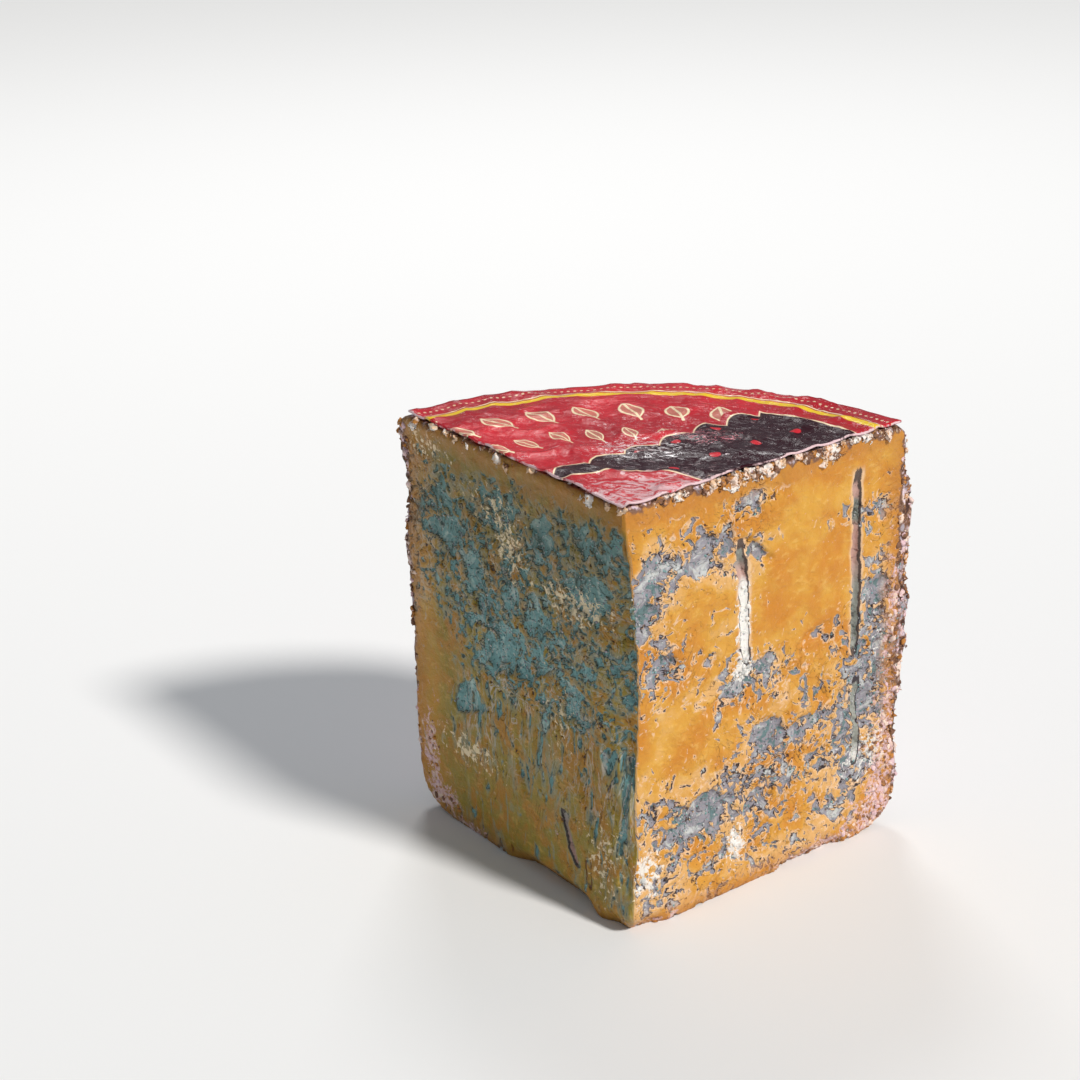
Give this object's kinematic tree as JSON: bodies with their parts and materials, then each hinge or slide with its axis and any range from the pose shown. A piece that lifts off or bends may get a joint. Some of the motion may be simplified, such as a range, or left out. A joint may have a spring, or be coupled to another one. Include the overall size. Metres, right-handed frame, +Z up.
{
  "type": "blue cheese wedge",
  "caption": "Quarter wedge of a tall blue cheese wheel, two veined knife cuts, rough rind behind, printed film label on top.",
  "frame": {"origin": "middle of the base, on the surface the wedge stands on", "axes": "+Z up along the wheel's axis; -Y towards the wedge's tip, +Y towards the middle of the rind; -X and +X towards the two knife cuts' outer corners"},
  "size_m": [0.1519, 0.1066, 0.1315],
  "materials": {
    "cheese": "moist golden paste with blue-grey mould and a brown, white-bloomed rind",
    "label_print": "glossy crinkled film printed red with a yellow ring and dark fields"
  },
  "bodies": {
    "root": {"cheese": "cheese", "label": "label_print"}
  },
  "joints": []
}
